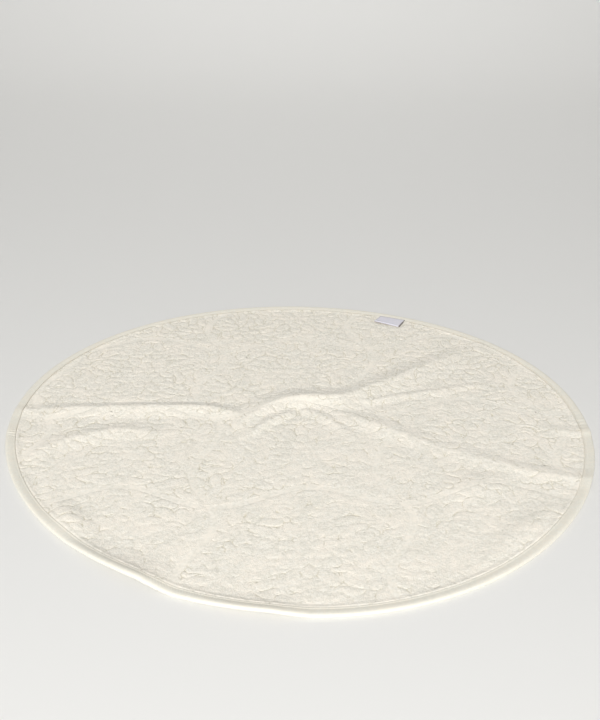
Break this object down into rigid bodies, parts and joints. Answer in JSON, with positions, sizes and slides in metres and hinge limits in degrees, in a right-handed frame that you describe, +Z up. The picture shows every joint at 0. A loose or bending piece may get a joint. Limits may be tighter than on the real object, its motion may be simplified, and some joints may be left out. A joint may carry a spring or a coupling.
{
  "type": "round kitchen towel",
  "caption": "Round terry kitchen towel lying flat, with storage creases, a bound rim and a small loop label sewn in at the rim.",
  "frame": {"origin": "middle of the towel's box, on the surface it lies on", "axes": "+Z up, square to the surface; +Y away from the viewer, +X to the right"},
  "size_m": [0.7072, 0.6926, 0.0146],
  "materials": {
    "terry": "figured cotton terry, cream, looped pile over a flat ground",
    "binding": "cotton bias strip, cream, smooth",
    "label": "woven ribbon, off-white, bare"
  },
  "bodies": {
    "root": {"cloth": "terry", "binding": "binding", "label": "label"}
  },
  "joints": []
}
